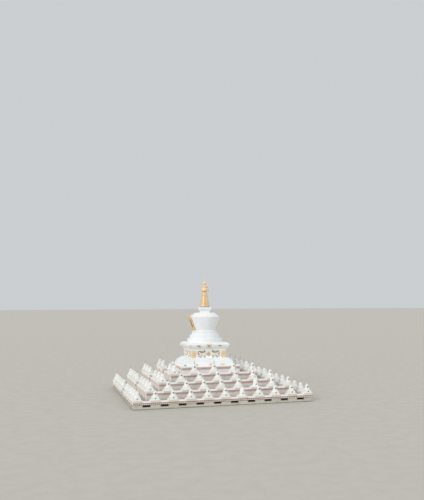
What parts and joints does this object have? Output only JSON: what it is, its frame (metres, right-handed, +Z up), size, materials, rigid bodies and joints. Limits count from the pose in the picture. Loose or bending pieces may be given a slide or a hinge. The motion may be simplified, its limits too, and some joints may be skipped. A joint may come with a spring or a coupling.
{
  "type": "half-scale model of a terraced stupa",
  "caption": "Half-scale model of a terraced white stupa: square gallery storey, stepped terraces lined with small stupas, a stair, and a great domed stupa with a gilded spire.",
  "frame": {"origin": "centre of the square base, on the ground", "axes": "+Z up along the spire, -Y towards the long front seen in the picture, -X towards the side with the stair and the dome's niche"},
  "size_m": [31.5, 31.5, 22],
  "materials": {
    "white_plaster": "limewashed plaster, matt, faintly streaked by rain",
    "terrace_wall": "rough pinkish stone masonry with pale joints",
    "gallery_wall": "pale grey rendered stone",
    "frieze": "dark red-brown painted frieze",
    "paving": "weathered stone slabs",
    "stair_stone": "cut stone treads",
    "gilding": "gilded, soft sheen"
  },
  "bodies": {
    "root": {"floor_slab": "paving", "gallery_core": "terrace_wall", "front_wall": "gallery_wall", "back_wall": "gallery_wall", "right_wall": "gallery_wall", "left_wall_north": "gallery_wall", "left_wall_south": "gallery_wall", "front_frieze_beam": "frieze", "back_frieze_beam": "frieze", "right_frieze_beam": "frieze", "left_frieze_beam_south": "frieze", "left_frieze_beam_north": "frieze", "gallery_roof_slab": "paving", "terrace_wall_2": "terrace_wall", "terrace_frieze_2": "frieze", "terrace_wall_3": "terrace_wall", "terrace_frieze_3": "frieze", "terrace_wall_4": "terrace_wall", "terrace_frieze_4": "frieze", "terrace_wall_5": "terrace_wall", "terrace_frieze_5": "frieze", "stair_flight_1": "stair_stone", "stair_flight_2": "stair_stone", "stair_flight_3": "stair_stone", "stair_flight_4": "stair_stone", "small_stupas_front_1": "white_plaster", "small_stupas_back_1": "white_plaster", "small_stupas_right_1": "white_plaster", "small_stupas_left_south_1": "white_plaster", "small_stupas_left_north_1": "white_plaster", "small_stupas_front_2": "white_plaster", "small_stupas_back_2": "white_plaster", "small_stupas_right_2": "white_plaster", "small_stupas_left_south_2": "white_plaster", "small_stupas_left_north_2": "white_plaster", "small_stupas_front_3": "white_plaster", "small_stupas_back_3": "white_plaster", "small_stupas_right_3": "white_plaster", "small_stupas_left_south_3": "white_plaster", "small_stupas_left_north_3": "white_plaster", "small_stupas_front_4": "white_plaster", "small_stupas_back_4": "white_plaster", "small_stupas_right_4": "white_plaster", "small_stupas_left_south_4": "white_plaster", "small_stupas_left_north_4": "white_plaster", "top_terrace_coping": "white_plaster", "central_plinth": "white_plaster", "lion_throne": "white_plaster", "throne_cornice": "white_plaster", "dome_steps": "white_plaster", "dome": "white_plaster", "niche_frame": "gilding", "harmika": "white_plaster", "spire_rings": "gilding", "parasol": "gilding", "finial": "gilding"}
  },
  "joints": []
}
